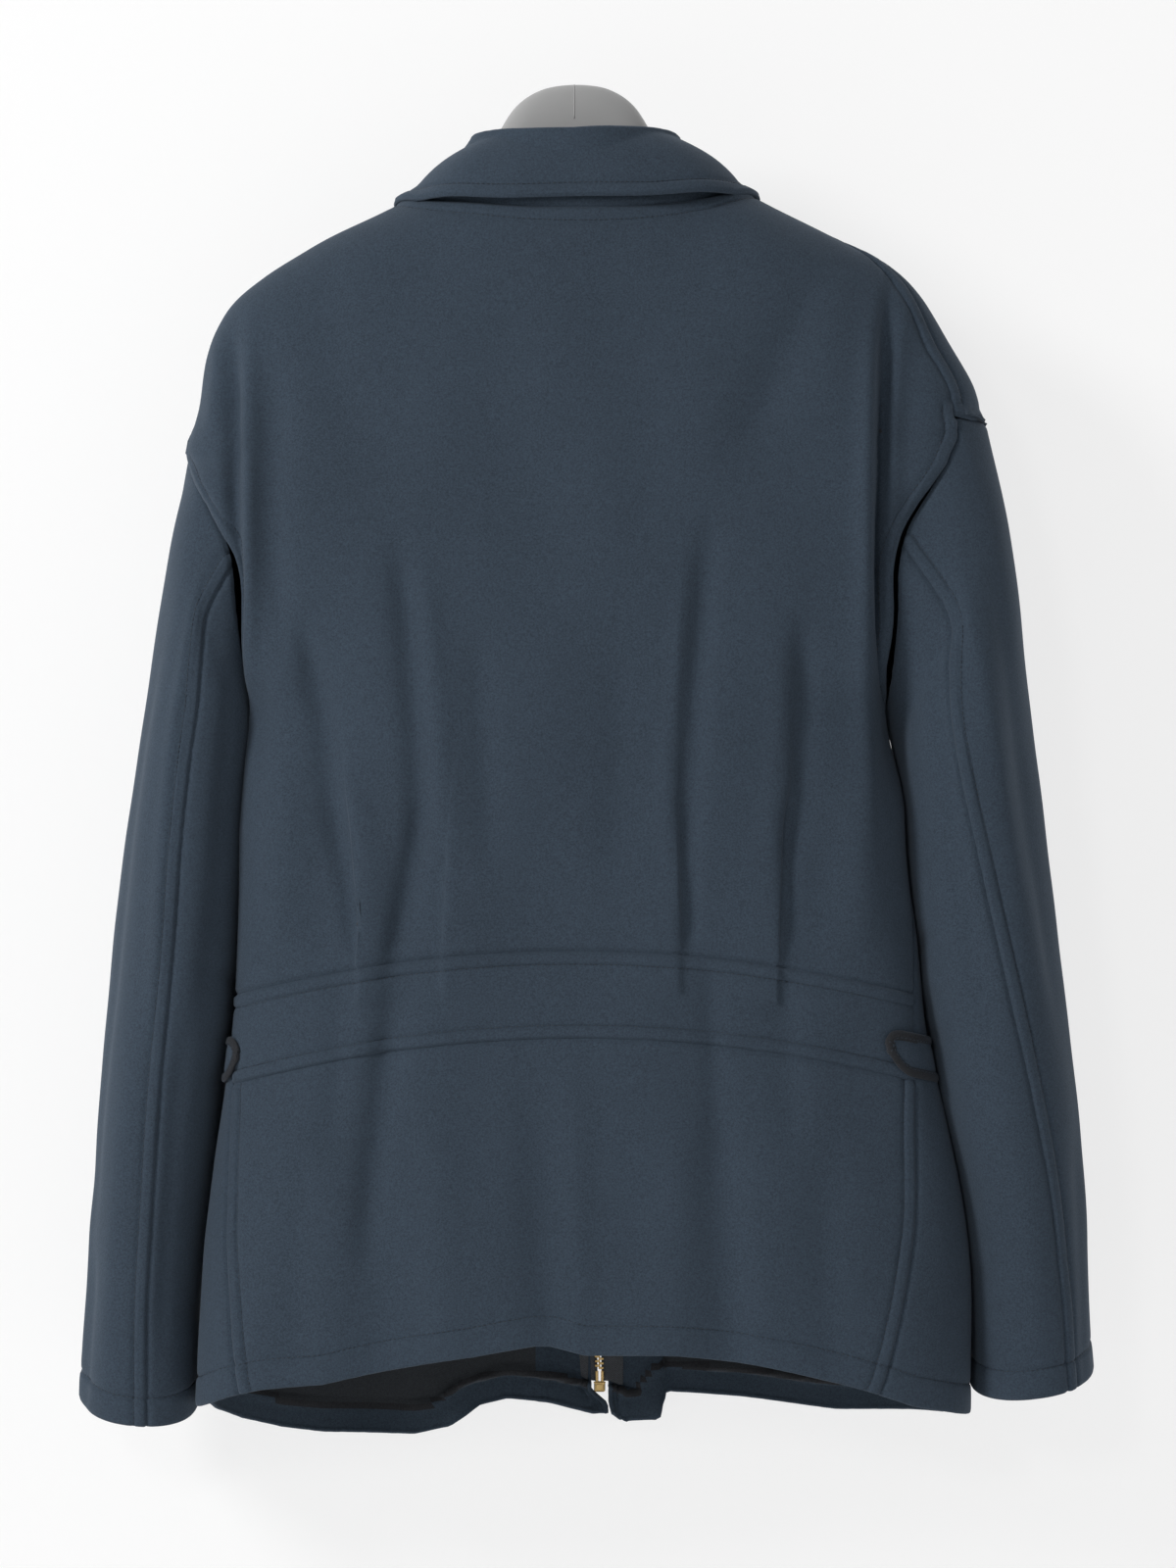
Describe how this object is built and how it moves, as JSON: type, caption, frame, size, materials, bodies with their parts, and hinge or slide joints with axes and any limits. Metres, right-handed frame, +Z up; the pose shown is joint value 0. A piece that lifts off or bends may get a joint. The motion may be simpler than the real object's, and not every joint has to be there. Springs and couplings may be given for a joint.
{
  "type": "knit sport jacket on a hanger",
  "caption": "Zipped knit jacket with a shirt collar, pleated back, waistband, side tabs and two-piece sleeves, hanging closed on a broad moulded hanger.",
  "frame": {"origin": "top centre of the hanger's neck, above the collar, where the hanger is hung", "axes": "+Z up; +X to the right and +Y away from someone who looks at the jacket's back, so the zip faces +Y"},
  "size_m": [0.6197, 0.1519, 0.8344],
  "materials": {
    "cloth": "heavy milled knit, matte slate navy",
    "trim": "woven zip tape and binding, dark grey",
    "brass": "satin",
    "hanger": "moulded, satin grey"
  },
  "bodies": {
    "jacket": {"back_panel": "cloth", "back_skirt": "cloth", "back_waistband": "cloth", "collar_fall": "cloth", "collar_stand": "cloth", "front_left": "cloth", "front_right": "cloth", "hanger": "hanger", "sleeve_left_under": "cloth", "sleeve_left_upper": "cloth", "sleeve_right_under": "cloth", "sleeve_right_upper": "cloth", "tab_left": "trim", "tab_right": "trim", "zip_box": "brass", "zip_chain": "brass", "zip_slider": "brass", "zip_tape_left": "trim", "zip_tape_right": "trim"},
    "zip_pull": {"zip_pull": "brass"}
  },
  "joints": [
    {"name": "zip_pull_swing", "type": "hinge", "parent": "jacket", "child": "zip_pull", "pos_m": [0.0042, 0.0574, -0.129], "axis": [1, 0, 0], "range_deg": [0, 150]}
  ]
}
